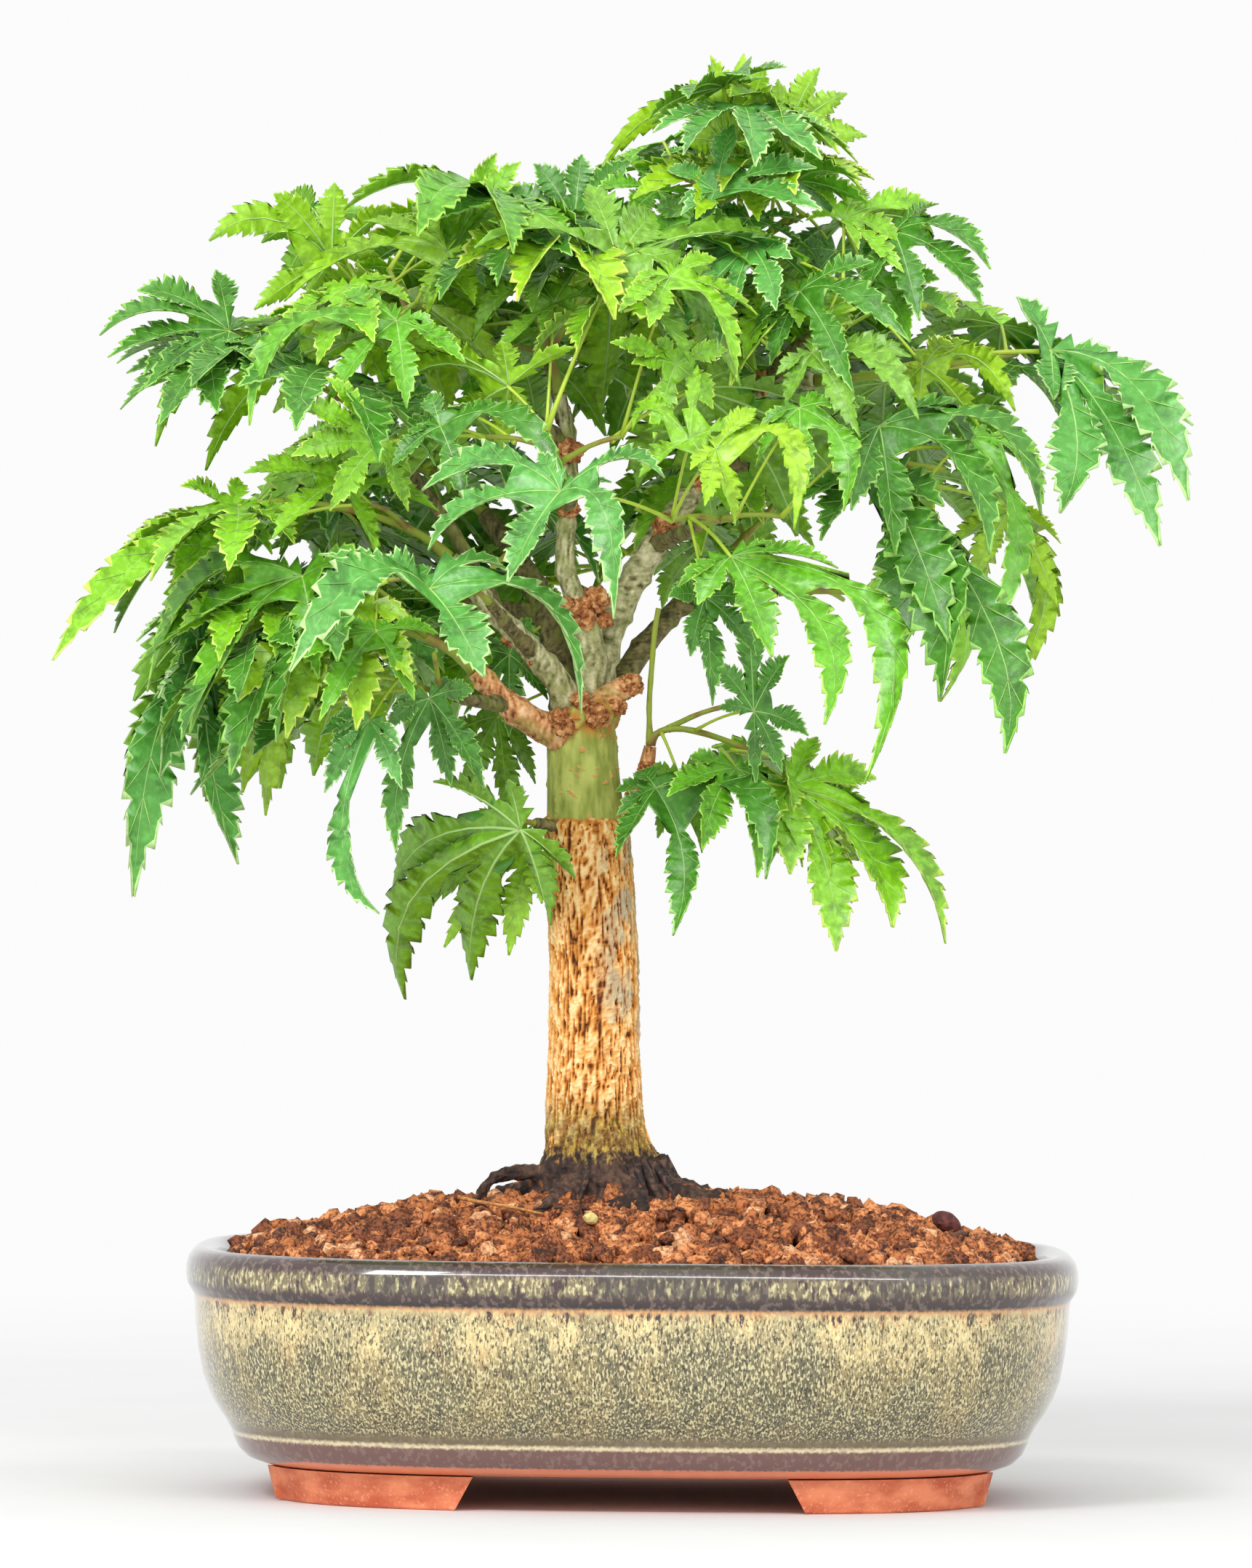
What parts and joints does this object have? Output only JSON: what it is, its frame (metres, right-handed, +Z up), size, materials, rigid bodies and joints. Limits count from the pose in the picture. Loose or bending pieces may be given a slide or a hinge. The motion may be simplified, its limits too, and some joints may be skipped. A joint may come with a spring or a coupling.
{
  "type": "potted maple bonsai",
  "caption": "Small weeping maple bonsai in green leaf, straight trunk with root flare, in an oval-cornered glazed pot on clay feet, filled with grain soil.",
  "frame": {"origin": "on the ground under the middle of the pot, which is also under the middle of the whole part", "axes": "+Z up along the tree, +X to the right of the pictured front, +Y to the back"},
  "size_m": [0.2601, 0.1914, 0.3363],
  "materials": {
    "glaze": "gloss",
    "clay": "matte",
    "soil": "matte",
    "bark": "matte",
    "leaves": "satin"
  },
  "bodies": {
    "root": {"pot": "glaze", "soil": "soil", "foot_front_left": "clay", "foot_back_left": "clay", "foot_front_right": "clay", "foot_back_right": "clay", "trunk": "bark", "bough_leader": "bark", "bough_low_left": "bark", "bough_high_left": "bark", "bough_back_left": "bark", "bough_right": "bark", "bough_back_right": "bark", "bough_back": "bark", "stub_right": "bark", "branch_low_right": "bark", "spur_left": "bark", "branch_crest": "bark", "branch_upper_right": "bark", "branch_right": "bark", "branch_right_front": "bark", "branch_right_top": "bark", "branch_upper_left": "bark", "branch_far_left": "bark", "branch_front": "bark", "branch_front_left": "bark", "branch_inner_left": "bark", "branch_back_low": "bark", "branch_back_top": "bark", "branch_back_right": "bark", "leaves_crest": "leaves", "leaves_far_left": "leaves", "leaves_far_right": "leaves", "leaves_trunk_left": "leaves", "leaves_low_right": "leaves", "leaves_left": "leaves", "leaves_low_left": "leaves", "leaves_upper_left": "leaves", "leaves_upper_right": "leaves", "leaves_top": "leaves", "leaves_right": "leaves", "leaves_inner_left": "leaves", "leaves_front_left": "leaves", "leaves_front": "leaves", "leaves_right_front": "leaves", "leaves_right_low": "leaves", "leaves_right_top": "leaves", "leaves_back_top": "leaves", "leaves_back_left": "leaves", "leaves_back_low": "leaves", "leaves_back": "leaves", "leaves_back_right": "leaves"}
  },
  "joints": []
}
